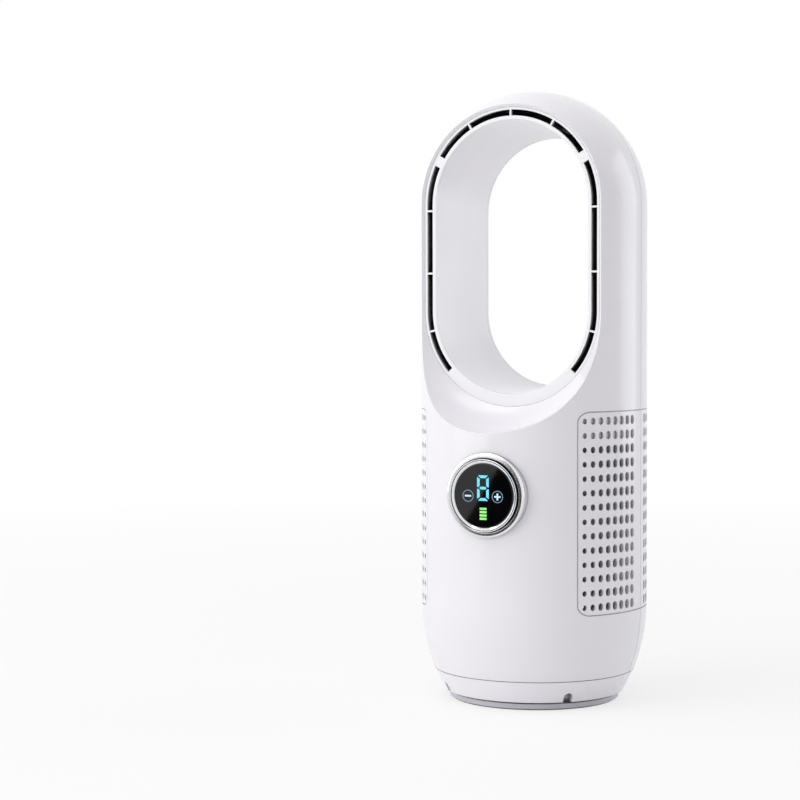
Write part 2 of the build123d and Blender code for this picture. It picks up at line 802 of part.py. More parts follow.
def make_base_skirt():
    """Conical skirt between foot and shells, with a tongue inside the shells and four notches."""
    top_radius = casing_radius(seam_z)
    tongue_radius = casing_radius(shell_bottom_z, wall) - fit_gap
    shelf_inner = post_circle + post_radius + fit_gap

    def inner_radius(z):
        return skirt_bottom_radius - skirt_wall + skirt_slope * (z - skirt_z)

    shelf_z = plate_top_z + touch_gap
    shelf_top_z = shelf_z + skirt_shelf_thickness
    tongue_inner = tongue_radius - skirt_tongue_wall
    tongue_foot_z = skirt_z + (tongue_inner - skirt_bottom_radius + skirt_wall) / skirt_slope
    points = [
        (skirt_bottom_radius, skirt_z), (top_radius, seam_z), (tongue_radius, seam_z),
        (tongue_radius, tongue_top_z), (tongue_inner, tongue_top_z), (tongue_inner, tongue_foot_z),
        (inner_radius(shelf_top_z), shelf_top_z),
        (shelf_inner, shelf_top_z), (shelf_inner, shelf_z), (inner_radius(shelf_z), shelf_z),
        (inner_radius(skirt_z), skirt_z),
    ]
    body = turned(points)
    round_z = skirt_z + notch_height - notch_width / 2
    notch_end = -shelf_inner - past
    notch = block(-notch_width / 2, notch_width / 2, -body_radius, notch_end, skirt_z - past, round_z)
    notch += facing_disc(notch_width / 2, -body_radius, notch_end, 0, round_z)
    return body - around(notch, four_ways(notch_angle))


# ---- Battery and boards ----
def corner_places(x, y):
    """Four places mirrored about both axes."""
    return [(sx * x, sy * y) for sx in (-1, 1) for sy in (-1, 1)]


def make_battery_tray():
    """Open tray on four legs that holds the cells."""
    tray = slab(tray_outer_x, tray_outer_y, tray_z, lid_z)
    tray -= slab(tray_inner_x, tray_inner_y, tray_z + tray_wall, lid_z + past)
    for x, y in corner_places(tray_outer_x / 2 - tray_leg_inset, tray_outer_y / 2 - tray_leg_inset):
        tray += disc(tray_leg_radius, plate_top_z, tray_z + root, x, y)
    return tray


def make_battery_cells():
    """Two cylindrical cells lying side by side."""
    offset = cell_radius + cell_gap / 2
    cell = Rot(0, 90, 0) * Cylinder(cell_radius, cell_length)
    return [Pos(0, side * offset, cell_z) * cell for side in (-1, 1)]


def standoff_places():
    """X and Y of the lid's four standoffs."""
    return corner_places(tray_outer_x / 2 - standoff_inset, tray_outer_y / 2 - standoff_inset)


def make_battery_lid():
    """Lid of the tray with standoffs for the main board."""
    lid = slab(tray_outer_x, tray_outer_y, lid_z, lid_top_z)
    for x, y in standoff_places():
        lid += disc(standoff_radius, lid_top_z - root, board_z, x, y)
    for x, y in standoff_places():
        lid -= disc(small_screw_radius + thread_clearance, lid_top_z - root, board_z + past, x, y)
    return lid


def make_main_board():
    """Round control board on the battery lid."""
    board = disc(board_radius, board_z, board_top_z)
    for x, y in standoff_places():
        board -= disc(small_screw_radius + screw_clearance, board_z - past, board_top_z + past, x, y)
    return board


def make_board_screws():
    """Four screws that hold the main board."""
    length = board_thickness + standoff_height - tip_gap
    shape = screw(small_screw_radius, small_head_radius, small_head_height, length)
    placed = Pos(0, 0, board_top_z + small_head_height) * Rot(180, 0, 0) * shape
    return [Pos(x, y, 0) * placed for x, y in standoff_places()]


def cable_plug_circle():
    """Distance from the axis of the motor cable's plug."""
    return board_radius - plug_size


def make_board_components():
    """Plugs, chips, coil and capacitors on the main board."""
    plug = slab(plug_size, plug_size, board_top_z, board_top_z + plug_height)
    pieces = [Rot(0, 0, angle) * Pos(0, -cable_plug_circle(), 0) * plug for angle in (0, cable_angle)]
    for x, y, width, depth, height in chips:
        pieces.append(slab(width, depth, board_top_z, board_top_z + height, x, y))
    for x, y, radius, height in cans:
        pieces.append(disc(radius, board_top_z, board_top_z + height, x, y))
    return pieces


def make_charging_socket():
    """Socket shell with its contact tongue at the rear edge of the main board."""
    end = board_radius + socket_overhang
    plane = Plane(origin=(0, end, socket_z), x_dir=(1, 0, 0), z_dir=(0, 1, 0))
    shell = extrude(plane * SlotOverall(socket_width, socket_height), -socket_length)
    hollow = SlotOverall(socket_width - 2 * socket_wall, socket_height - 2 * socket_wall)
    shell -= extrude(plane * hollow, -(socket_length - socket_back))
    reach = (socket_width - socket_height) / 2
    start = end - socket_length + socket_back / 2
    low = socket_z - socket_tongue / 2
    tongue = block(-reach, reach, start, end - tongue_inset, low, low + socket_tongue)
    return shell + tongue


# ---- Air path ----
def make_air_divider():
    """Plate between the intake space and the pressure space."""
    plate = tube(body_radius - wall - fit_gap, divider_hole_radius, divider_z, divider_top_z)
    hole = disc(small_screw_radius + screw_clearance, divider_z - past, divider_top_z + past, 0, -lug_circle)
    plate -= around(hole, four_ways(lug_angle))
    pilot = disc(small_screw_radius + thread_clearance, divider_z - past, divider_top_z - divider_skin)
    pilot = Pos(0, -shroud_screw_circle, 0) * pilot
    return plate - around(pilot, four_ways(90 - lug_angle))


def make_divider_screws():
    """Four screws from above into the shells' lugs."""
    length = divider_thickness + lug_height - tip_gap
    shape = screw(small_screw_radius, small_head_radius, small_head_height, length)
    placed = Pos(0, -lug_circle, divider_top_z + small_head_height) * Rot(180, 0, 0) * shape
    return around(placed, four_ways(lug_angle))


def make_duct_gasket():
    """Foam ring between the shroud's flange and the divider."""
    ring = tube(shroud_flange_radius, divider_hole_radius, flange_top_z, divider_z)
    hole = disc(small_screw_radius + screw_clearance, flange_top_z - past, divider_z + past)
    hole = Pos(0, -shroud_screw_circle, 0) * hole
    return ring - around(hole, four_ways(90 - lug_angle))


def cable_bore():
    """Radial hole that the motor cable passes through."""
    bore = facing_disc(cable_radius + cable_hole_clearance, -shroud_outer_radius - past, 0, 0, cable_z)
    return Rot(0, 0, cable_angle) * bore


def make_impeller_shroud():
    """Round duct with a flared inlet below and a flange above."""
    bell_top_z = shroud_bottom_z + bell_height
    inner = shroud_inner_radius
    outer = shroud_outer_radius
    ledge_top_z = diffuser_bottom_z + hub_floor - touch_gap
    ledge_z = ledge_top_z - ledge_height
    points = [
        (bell_radius - shroud_wall / 2, shroud_bottom_z), (bell_radius, shroud_bottom_z), (outer, bell_top_z),
        (outer, flange_z), (shroud_flange_radius, flange_z), (shroud_flange_radius, flange_top_z),
        (inner, flange_top_z), (inner, ledge_top_z), (inner - ledge_width, ledge_top_z),
        (inner - ledge_width, ledge_z + ledge_width), (inner, ledge_z), (inner, bell_top_z),
    ]
    body = turned(points)
    hole = disc(small_screw_radius + screw_clearance, flange_z - past, flange_top_z + past)
    hole = Pos(0, -shroud_screw_circle, 0) * hole
    body -= around(hole, four_ways(90 - lug_angle))
    return body - cable_bore()


def make_shroud_screws():
    """Four screws from below that hang the shroud on the divider."""
    length = shroud_flange_thickness + gasket_thickness + divider_thickness - divider_skin - tip_gap
    shape = screw(small_screw_radius, small_head_radius, small_head_height, length)
    placed = Pos(0, -shroud_screw_circle, flange_z - small_head_height) * shape
    return around(placed, four_ways(90 - lug_angle))


# ---- Diffuser and motor ----
def make_diffuser():
    """Stationary vanes above the impeller, with the motor's pocket in their hub."""
    floor_z = diffuser_bottom_z + hub_floor
    ring_top_z = floor_z + diffuser_ring_height
    ring = tube(diffuser_radius, diffuser_radius - diffuser_ring_wall, floor_z, ring_top_z)
    hub = tube(diffuser_hub_radius, pocket_radius, diffuser_bottom_z, hub_rim_z)
    hub += tube(diffuser_hub_radius, bearing_radius + hub_hole_clearance, diffuser_bottom_z, floor_z)
    vane_height = diffuser_ring_height - 2 * vane_inset
    middle_z = floor_z + diffuser_ring_height / 2
    mean_radius = (pocket_radius + diffuser_radius) / 2
    reach = diffuser_radius - pocket_radius
    vane = Pos(mean_radius, 0, middle_z) * Rot(vane_tilt, 0, 0) * Box(reach, vane_thickness, vane_height)
    first = cable_angle - 90 + 180 / vane_count
    body = ring + hub + around(vane, [first + angle for angle in even_angles(vane_count)])
    body &= disc(diffuser_radius, diffuser_bottom_z, hub_rim_z)
    body -= disc(pocket_radius, floor_z, hub_rim_z + past)
    return body - cable_bore()


def make_motor_damper():
    """Rubber sleeve between motor and diffuser."""
    floor_z = diffuser_bottom_z + hub_floor
    return tube(damper_radius, motor_radius + touch_gap, floor_z + touch_gap, motor_top_z) - cable_bore()


def make_motor_housing():
    """Motor cup with the lower bearing seat."""
    inner = motor_radius - motor_wall
    cup = disc(motor_radius, motor_z, motor_top_z) - disc(inner, motor_z + motor_floor, motor_top_z + past)
    return cup - disc(bearing_radius + touch_gap, motor_z - past, motor_z + motor_floor + past)


def make_motor_end_bell():
    """Upper end of the motor with the upper bearing seat."""
    radius = motor_radius - motor_wall - touch_gap
    return tube(radius, bearing_radius + touch_gap, end_bell_z, motor_top_z)


def bearing(z):
    """Ball bearing drawn as one ring."""
    return tube(bearing_radius, shaft_radius + running_clearance, z, z + bearing_height)


def make_stator_core():
    """Laminated ring with inward teeth."""
    outer = motor_radius - motor_wall - touch_gap
    core = tube(outer, outer - core_yoke, core_z, core_z + core_height)
    top_z = core_z + core_height
    tooth = block(core_inner_radius, outer - core_yoke / 2, -tooth_width / 2, tooth_width / 2, core_z, top_z)
    core += around(tooth, even_angles(tooth_count))
    return core - disc(core_inner_radius, core_z - past, top_z + past)


def make_stator_windings():
    """Copper in the spaces between the teeth."""
    outer = motor_radius - motor_wall - touch_gap - core_yoke - winding_gap
    inner = core_inner_radius + winding_gap
    z0 = core_z - winding_overhang
    z1 = core_z + core_height + winding_overhang
    ring = tube(outer, inner, z0, z1)
    gap = tooth_width / 2 + winding_gap
    tooth = block(0, motor_radius, -gap, gap, z0 - past, z1 + past)
    return list((ring - around(tooth, even_angles(tooth_count))).solids())


def make_motor_cap():
    """Cap over the motor and the diffuser's hub."""
    low_z = hub_rim_z + touch_gap
    top_z = low_z + motor_cap_height
    points = [(0, low_z), (diffuser_hub_radius, low_z), (diffuser_hub_radius, top_z), (0, top_z)]
    cap = turned(points, [0, 0, motor_cap_height * 0.6, 0])
    inner = diffuser_hub_radius - motor_cap_wall
    return cap - disc(inner, hub_rim_z - past, top_z - motor_cap_wall)


# ---- Rotor ----
def make_motor_shaft():
    """Shaft through both bearings and the impeller."""
    return disc(shaft_radius, shaft_z, motor_top_z + shaft_end)


def make_rotor_magnet():
    """Ring magnet on the shaft."""
    return tube(core_inner_radius - magnet_air_gap, shaft_radius, core_z, core_z + core_height)


def blade_section(radius, pitch, centre_z):
    """Cross-section of a blade at a distance from the axis."""
    chord = impeller_height * 1.6
    plane = Plane(origin=(radius, 0, centre_z), x_dir=(0, 1, 0), z_dir=(1, 0, 0)).rotated((0, 0, pitch))
    return (plane * Rectangle(blade_thickness, chord)).face()


def make_impeller():
    """Mixed-flow impeller: conical hub and twisted blades."""
    hub = turned([
        (0, impeller_z), (impeller_hub_bottom, impeller_z), (impeller_hub_top, impeller_top_z),
        (0, impeller_top_z),
    ])
    centre_z = (impeller_z + impeller_top_z) / 2
    root = blade_section(impeller_hub_bottom / 2, blade_root_pitch, centre_z)
    tip = blade_section(impeller_radius + blade_overlap, blade_tip_pitch, centre_z)
    blade = loft([root, tip], ruled=True)
    blade &= disc(impeller_radius, impeller_z, impeller_top_z)
    body = hub + around(blade, even_angles(blade_count))
    return body - disc(shaft_radius, impeller_z - past, impeller_top_z + past)


def make_impeller_nut():
    """Domed nut that holds the impeller on the shaft."""
    points = [(0, nut_z), (nut_radius, nut_z), (nut_radius, impeller_z), (0, impeller_z)]
    nut = turned(points, [0, nut_height / 2, 0, 0])
    return nut - disc(shaft_radius, shaft_z, impeller_z + past)


# ---- Display ----
def make_display_outer_ring():
    """Outer bright ring on the casing, with a sleeve through the shell."""
    front = -body_radius - outer_ring_proud
    rear = bracket_y
    reach = 2 * outer_ring_radius
    seat = disc(body_radius, display_z - reach, display_z + reach)
    seat -= facing_disc(sleeve_radius, front - past, rear + past, 0, display_z)
    inner = sleeve_inner_radius
    points = [(inner, front), (outer_ring_radius, front), (outer_ring_radius, rear), (inner, rear)]
    ring = turned_facing(points, [ring_round * 0.6, ring_round, 0, 0], display_z)
    return (ring - seat).solids().sort_by(SortBy.VOLUME)[-1]


def make_display_inner_ring():
    """Inner bright ring: a bevel towards the glass, a fine groove around it, and a seat behind the glass."""
    front = -body_radius - inner_ring_proud
    rear = display_board_y
    inner = lens_radius + touch_gap
    groove_outer = inner_ring_radius - inner_ring_rim
    groove_inner = groove_outer - inner_groove_width
    floor = front + inner_groove_depth
    seat_inner = inner - lens_seat_width
    points = [
        (groove_inner, front), (groove_inner, floor), (groove_outer, floor), (groove_outer, front),
        (inner_ring_radius, front), (inner_ring_radius, rear), (inner, rear),
        (inner, seat_y + lens_seat_thickness), (seat_inner, seat_y + lens_seat_thickness),
        (seat_inner, seat_y + touch_gap), (inner, seat_y + touch_gap), (inner, front + inner_ring_bevel),
    ]
    edge = inner_ring_rim / 3
    return turned_facing(points, [edge, 0, 0, edge, edge, 0, 0, 0, 0, 0, 0, 0], display_z)


def make_display_lens():
    """Round black glass."""
    points = [(0, lens_y), (lens_radius, lens_y), (lens_radius, seat_y), (0, seat_y)]
    return turned_facing(points, [0, lens_round, 0, 0], display_z)


def make_display_carrier():
    """Light guide between glass and board, with two wells for the touch springs."""
    radius = lens_radius - lens_seat_width - carrier_gap
    body = facing_disc(radius, seat_y + carrier_gap, display_board_y, 0, display_z)
    for x in (minus_x, plus_x):
        body -= facing_disc(spring_radius + fit_gap, seat_y - past, display_board_y + past, x, key_z)
    return body


def make_touch_springs():
    """Contact springs behind the two key marks."""
    front = seat_y + touch_gap
    return [facing_disc(spring_radius, front, display_board_y, x, key_z) for x in (minus_x, plus_x)]


def make_display_board():
    """Round board behind the display."""
    rear = display_board_y + display_board_thickness
    return facing_disc(inner_ring_radius, display_board_y, rear, 0, display_z)


def ribbon_start_z():
    """Height at which the ribbon leaves the display board."""
    return display_z - lens_radius * 0.6


def make_display_bracket():
    """Disc that clamps the display's pieces to the front shell."""
    rear = bracket_y + bracket_thickness
    body = facing_disc(bracket_radius, bracket_y, rear, 0, display_z)
    for x, z in display_screw_places():
        body -= facing_disc(small_screw_radius + screw_clearance, bracket_y - past, rear + past, x, z)
    half = ribbon_width / 2 + ribbon_clearance
    low = ribbon_start_z() - bracket_window_height / 2
    body -= block(-half, half, bracket_y - past, rear + past, low, low + bracket_window_height)
    reach = bracket_y - display_board_y - display_board_thickness
    spacer = tube(inner_ring_radius, inner_ring_radius - spacer_wall, 0, reach)
    turn = Pos(0, bracket_y, display_z) * Rot(90, 0, 0)
    return body + turn * spacer


def make_display_screws():
    """Four screws of the display bracket."""
    length = bracket_thickness + display_screw_bite
    shape = screw(small_screw_radius, small_head_radius, small_head_height, length)
    placed = Rot(90, 0, 0) * shape
    y = bracket_y + bracket_thickness + small_head_height
    return [Pos(x, y, z) * placed for x, z in display_screw_places()]


def mark(shape, x, z):
    """Thin raised mark on the glass, from a flat shape."""
    plane = Plane(origin=(x, lens_y, z), x_dir=(1, 0, 0), z_dir=(0, -1, 0))
    return extrude(plane * shape, mark_thickness, dir=(0, -1, 0))


def bar_outlines():
    """Outlines of the digit's seven bars around its centre, with slanted ends."""
    x = digit_width / 2
    z = digit_height / 2
    stroke = digit_stroke
    gap = digit_gap
    flat = [(gap - x, z), (x - gap, z), (x - stroke - gap, z - stroke), (stroke + gap - x, z - stroke)]
    upright = [
        (-x, z - 2 * gap), (stroke - x, z - stroke - gap), (stroke - x, stroke / 2 + gap),
        (stroke / 2 - x, gap), (-x, gap),
    ]
    middle = [
        (stroke / 2 + gap - x, 0), (stroke + gap - x, stroke / 2), (x - stroke - gap, stroke / 2),
        (x - stroke / 2 - gap, 0), (x - stroke - gap, -stroke / 2), (stroke + gap - x, -stroke / 2),
    ]
    outlines = [middle]
    for up in (1, -1):
        outlines.append([(u, up * v) for u, v in flat])
        for across in (1, -1):
            outlines.append([(across * u, up * v) for u, v in upright])
    return outlines


def make_speed_digit():
    """Seven bars of the lit digit."""
    shapes = [make_face(Polyline(*points, close=True)) for points in bar_outlines()]
    return [mark(shape, digit_x, display_z + digit_rise) for shape in shapes]


def make_level_bars():
    """Stack of level bars below the digit."""
    middle = (bar_count - 1) / 2
    shape = RectangleRounded(bar_width, bar_height, bar_round)
    low = display_z - bar_drop
    return [mark(shape, bar_x, low + (row - middle) * bar_pitch) for row in range(bar_count)]


def key_mark(x, upright):
    """Circle with a minus, or with a plus."""
    circle = Circle(key_ring_radius) - Circle(key_ring_radius - key_ring_stroke)
    sign = Rectangle(sign_length, sign_stroke)
    if upright:
        sign += Rectangle(sign_stroke, sign_length)
    return [mark(circle, x, key_z), mark(sign, x, key_z)]


# ---- Cables ----
def make_motor_cable():
    """Cable from the motor out through the shroud and down to the main board."""
    def place(out, z):
        x, y = at_front(cable_angle, out)
        return x, y, z

    end_z = board_top_z + plug_height
    points = [
        place(motor_radius + touch_gap, cable_z), place(cable_drop_radius, cable_z),
        place(cable_drop_radius, end_z + 3 * cable_bend), place(cable_plug_circle(), end_z + cable_bend),
        place(cable_plug_circle(), end_z),
    ]
    path = FilletPolyline(*points, radius=[cable_bend, 2 * cable_bend, cable_bend])
    return sweep(Plane(origin=path @ 0, z_dir=path % 0) * Circle(cable_radius), path=path)


def make_display_ribbon():
    """Flat cable from the display board down to the main board."""
    drop_y = bracket_y + bracket_thickness + ribbon_drop_gap
    start_y = display_board_y + display_board_thickness
    end_z = board_top_z + plug_height
    points = [
        (0, start_y, ribbon_start_z()), (0, drop_y, ribbon_start_z()),
        (0, drop_y, end_z + 6 * ribbon_bend), (0, -cable_plug_circle(), end_z + 2 * ribbon_bend),
        (0, -cable_plug_circle(), end_z),
    ]
    path = FilletPolyline(*points, radius=[ribbon_bend, 2 * ribbon_bend, ribbon_bend])
    plane = Plane(origin=path @ 0, x_dir=(1, 0, 0), z_dir=path % 0)
    return sweep(plane * Rectangle(ribbon_width, ribbon_thickness), path=path)


# ---- Everything ----
def make_nodes():
    """All pieces by name. A list is a group of separate solids."""
    front_shell, rear_shell = make_shells()
    return {
        "foot_disc": make_foot_disc(),
        "foot_pad": make_foot_pad(),
        "glide_ring": make_glide_ring(),
        "swivel_retainer": make_swivel_retainer(),
        "swivel_screws": make_swivel_screws(),
        "base_plate": make_base_plate(),
        "base_skirt": make_base_skirt(),
        "base_screws": make_base_screws(),
        "front_shell": front_shell,
        "rear_shell": rear_shell,
        "nozzle_ring": make_nozzle_ring(),
        "tunnel_liner": make_tunnel_liner(),
        "battery_tray": make_battery_tray(),
        "battery_cells": make_battery_cells(),
        "battery_lid": make_battery_lid(),
        "main_board": make_main_board(),
        "board_screws": make_board_screws(),
        "board_components": make_board_components(),
        "charging_socket": make_charging_socket(),
        "air_divider": make_air_divider(),
        "divider_screws": make_divider_screws(),
        "duct_gasket": make_duct_gasket(),
        "impeller_shroud": make_impeller_shroud(),
        "shroud_screws": make_shroud_screws(),
        "diffuser": make_diffuser(),
        "motor_damper": make_motor_damper(),
        "motor_housing": make_motor_housing(),
        "motor_end_bell": make_motor_end_bell(),
        "motor_bearing_lower": bearing(motor_z),
        "motor_bearing_upper": bearing(end_bell_z),
        "stator_core": make_stator_core(),
        "stator_windings": make_stator_windings(),
        "motor_cap": make_motor_cap(),
        "motor_cable": make_motor_cable(),
        "motor_shaft": make_motor_shaft(),
        "rotor_magnet": make_rotor_magnet(),
        "impeller": make_impeller(),
        "impeller_nut": make_impeller_nut(),
        "display_outer_ring": make_display_outer_ring(),
        "display_inner_ring": make_display_inner_ring(),
        "display_lens": make_display_lens(),
        "display_carrier": make_display_carrier(),
        "touch_springs": make_touch_springs(),
        "display_board": make_display_board(),
        "display_bracket": make_display_bracket(),
        "display_screws": make_display_screws(),
        "display_ribbon": make_display_ribbon(),
        "speed_digit": make_speed_digit(),
        "level_bars": make_level_bars(),
        "minus_mark": key_mark(minus_x, False),
        "plus_mark": key_mark(plus_x, True),
    }


def main():
    os.makedirs("parts", exist_ok=True)
    for name, piece in make_nodes().items():
        solids = piece if isinstance(piece, list) else piece.solids()
        flat = [solid for item in solids for solid in item.solids()]
        export_step(flat[0] if len(flat) == 1 else Compound(flat), f"parts/{name}.step")


main()
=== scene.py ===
"""Looks of the bladeless table fan: every piece's material, the lit display, a pale studio and a camera."""

import math

import bpy
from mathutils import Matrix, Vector

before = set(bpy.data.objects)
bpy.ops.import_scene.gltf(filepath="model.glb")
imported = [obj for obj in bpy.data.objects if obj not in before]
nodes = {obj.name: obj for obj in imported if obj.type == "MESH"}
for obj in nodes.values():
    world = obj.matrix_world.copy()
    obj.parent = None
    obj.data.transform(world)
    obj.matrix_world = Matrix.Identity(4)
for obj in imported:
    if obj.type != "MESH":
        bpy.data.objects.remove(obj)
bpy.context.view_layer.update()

MM = 0.001                    # lengths are in metres

# ---- Camera, read from the photograph (its 800 x 800 pixel frame) ----
PHOTO_SIZE = 800
AXIS_PIXEL_X = 533.9          # where the fan's axis stands in the frame
HORIZON_PIXEL_Y = 314.2       # where the eye's level lies in it
FOCAL_PIXELS = 2048.6
CAMERA_AZIMUTH = 24.0         # degrees to the right of the fan's front
CAMERA_ROLL = 0.16            # degrees
CAMERA_DISTANCE = 1.0964      # from the fan's axis
EYE_HEIGHT = 0.2045
SENSOR_WIDTH = 36.0           # millimetres, the unit of the camera's lens

# ---- Studio ----
BACKGROUND = (1.0, 1.0, 1.0)
AMBIENT = (0.505, 0.50, 0.515)    # light from all round
FLOOR = (0.90, 0.90, 0.905)
FLOOR_REACH = 12.0                # half the floor's side
FLOOR_GLOW = {                    # share of plain white over the floor, by the distance from the fan's axis
    "low": 0.70, "high": 1.0, "start": 0.2, "end": 1.2}
CARD_BLACK = (0.01, 0.01, 0.01)
CARD_CORNERS = [                  # before the fan, to its left: a dark diagonal in the glass beside the sheen
    (-0.295, -0.6, 0.002), (-0.15, -0.6, 0.002), (-0.02, -0.6, 0.30), (-0.0978, -0.6, 0.30)]
LAMPS = (                         # name, place, the point it faces, width and height, watts
    ("key", (-1.16, -1.38, 0.8), (0, 0, 0.16), (1.6, 1.8), 15.0),
    ("rim", (1.1, 1.1, 0.45), (0, 0, 0.16), (0.75, 1.3), 5.4),
    ("top", (-0.3, -0.4, 1.8), (0, 0, 0.2), (1.2, 1.2), 10.0))

# ---- Colours of the outside ----
SHELL_WHITE = (0.86, 0.848, 0.878)
RING_WHITE = (0.87, 0.863, 0.882)
LINER_WHITE = (0.85, 0.843, 0.862)
HOLE_SHADE_GREY = (0.21, 0.206, 0.217)     # painted shade: white plastic where little light gets in
SLOT_SHADE_BLACK = (0.020, 0.019, 0.022)   # painted shade, for where next to none does
FOOT_GREY = (0.60, 0.605, 0.63)
PAD_BLACK = (0.028, 0.028, 0.030)
CHROME = (0.80, 0.80, 0.82)
SOCKET_STEEL = (0.62, 0.62, 0.62)
GLASS_BLACK = (0.0008, 0.0008, 0.0012)
DIGIT_CYAN = (0.16, 0.75, 1.0)
SIGN_WHITE = (0.62, 0.86, 1.0)
KEY_BLUE = (0.16, 0.26, 0.36)        # the circle of a key around its sign
BAR_GREEN = (0.34, 0.90, 0.24)
HALO_GREEN = (0.003, 0.13, 0.008)    # light that spills between the level bars
UNLIT = (0.0, 0.0, 0.0)

# ---- Colours of the inside ----
GLIDE_NATURAL = (0.78, 0.77, 0.72)
INNER_GREY = (0.42, 0.43, 0.45)
DUCT_GREY = (0.45, 0.455, 0.465)
IMPELLER_BLACK = (0.09, 0.095, 0.10)
TRAY_BLACK = (0.12, 0.122, 0.126)
GUIDE_GREY = (0.55, 0.57, 0.58)
CELL_GREEN = (0.02, 0.22, 0.16)
DISPLAY_BOARD_GREEN = (0.012, 0.05, 0.022)
MAIN_BOARD_GREEN = (0.010, 0.075, 0.028)
COMPONENT_BLACK = (0.02, 0.02, 0.022)
RIBBON_WHITE = (0.68, 0.68, 0.66)
SHEATH_BLACK = (0.03, 0.03, 0.033)
FOAM_BLACK = (0.05, 0.05, 0.055)
DAMPER_BLACK = (0.035, 0.035, 0.037)
MAGNET_BLACK = (0.05, 0.05, 0.052)
ZINC = (0.55, 0.55, 0.53)
CAN_STEEL = (0.46, 0.46, 0.47)
BEARING_STEEL = (0.66, 0.66, 0.67)
LAMINATION_STEEL = (0.28, 0.28, 0.29)
COPPER = (0.62, 0.24, 0.09)

# ---- Where surfaces are closed in, painted shade darkens them: how far around it counts, and which open shares are shut and clear ----
CORNER = {"reach": 3.5 * MM, "shut": 0.35, "clear": 0.9}
CREVICE = {"reach": 1.2 * MM, "shut": 0.15, "clear": 0.75}
HOLLOW = {"reach": 60.0 * MM, "shut": 0.18, "clear": 0.42, "samples": 8}
METAL_CORNER = {"shut": 0.45, "clear": 0.88}

# ---- What several finishes share ----
PLASTIC_IOR = 1.5
GLASS_IOR = 1.47
EDGE_SAMPLES = 6
SHUT_SAMPLES = 6
TINT_DRIFT = (0.985, 1.012)   # darkest and lightest patches of a plastic against its colour
CORNER_SHADE = 0.88                   # painted shade in corners and crevices, against the plastic's colour
GLOSS_SWING = 0.05            # how far a plastic's roughness wanders
DULL_METAL = 0.94             # metal's dullest patches against its colour
METAL_CORNER_SHADE = 0.05             # painted shade on metal in a corner, against its colour
BRUSH_SWING = (0.75, 1.35)    # smoothest and roughest lines of a metal against its roughness
GLOW_LUMPS = 360.0            # unevenness of the lit marks
GLOW_SWING = (0.86, 1.12)     # their dimmest and brightest patches against their colour
MARK_GLOW = 1.0
KEY_GLOW = 0.95
HALO_GLOW = 1.0
MARK_INK = (0.10, 0.14)       # the marks' own colour, without their light, against the light's
KEY_INK = 0.12
SIGN_EDGE = (1.9 * MM, 2.6 * MM)      # from a key's middle: where its sign ends and its circle begins
HALO_EDGE = (-0.2 * MM, 0.15 * MM)    # from the level bars' edge: where their light starts to fade and ends


# ---- Node helpers ----
def feed(tree, socket, value):
    """Links another node's output to the socket, or sets the socket to a number, vector or colour."""
    if isinstance(value, bpy.types.NodeSocket):
        tree.links.new(value, socket)
    elif socket.type == "RGBA" and len(value) == 3:
        socket.default_value = (*value, 1.0)
    else:
        socket.default_value = value


def combine(tree, operation, first, second):
    """Arithmetic on two numbers."""
    made = tree.nodes.new("ShaderNodeMath")
    made.operation = operation
    feed(tree, made.inputs[0], first)
    feed(tree, made.inputs[1], second)
    return made.outputs["Value"]


def mix_shaders(tree, share, first, second, output):
    """Sends the mix of two shaders to the output node."""
    mixer = tree.nodes.new("ShaderNodeMixShader")
    for socket, value in zip(mixer.inputs, (share, first, second)):
        tree.links.new(value, socket)
    tree.links.new(mixer.outputs["Shader"], tree.nodes[output].inputs["Surface"])


def shade(color, factor):
    """A colour made lighter or darker."""
    return tuple(min(1.0, part * factor) for part in color)


